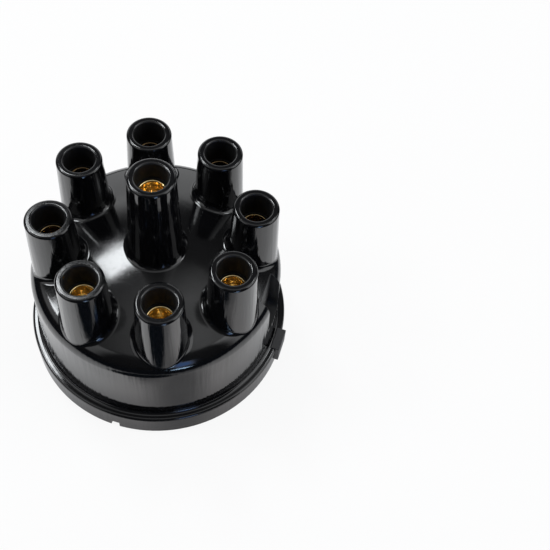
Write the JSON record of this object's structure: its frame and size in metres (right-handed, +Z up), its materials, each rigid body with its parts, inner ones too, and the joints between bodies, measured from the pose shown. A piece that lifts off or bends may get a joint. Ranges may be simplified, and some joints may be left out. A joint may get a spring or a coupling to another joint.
{
  "type": "distributor cap",
  "caption": "Moulded distributor cap with a ring of plug towers round a taller coil tower, brass sockets and electrodes, a carbon button and clip pockets.",
  "frame": {"origin": "on the cap's axis, in the plane of its base rim", "axes": "+Z up through the coil tower; -Y towards the tower that the picture shows in front"},
  "size_m": [0.0912, 0.0912, 0.0846],
  "materials": {
    "phenolic": "black moulded phenolic, glossy, dull on the locating lug",
    "brass": "turned and drawn brass",
    "carbon": "pressed carbon, matte"
  },
  "bodies": {
    "root": {"cap_moulding": "phenolic", "tower_cup_1": "brass", "tower_electrode_1": "brass", "tower_cup_2": "brass", "tower_electrode_2": "brass", "tower_cup_3": "brass", "tower_electrode_3": "brass", "tower_cup_4": "brass", "tower_electrode_4": "brass", "tower_cup_5": "brass", "tower_electrode_5": "brass", "tower_cup_6": "brass", "tower_electrode_6": "brass", "tower_cup_7": "brass", "tower_electrode_7": "brass", "tower_cup_8": "brass", "tower_electrode_8": "brass", "coil_tower_cup": "brass", "coil_conductor": "brass", "carbon_button": "carbon"}
  },
  "joints": []
}
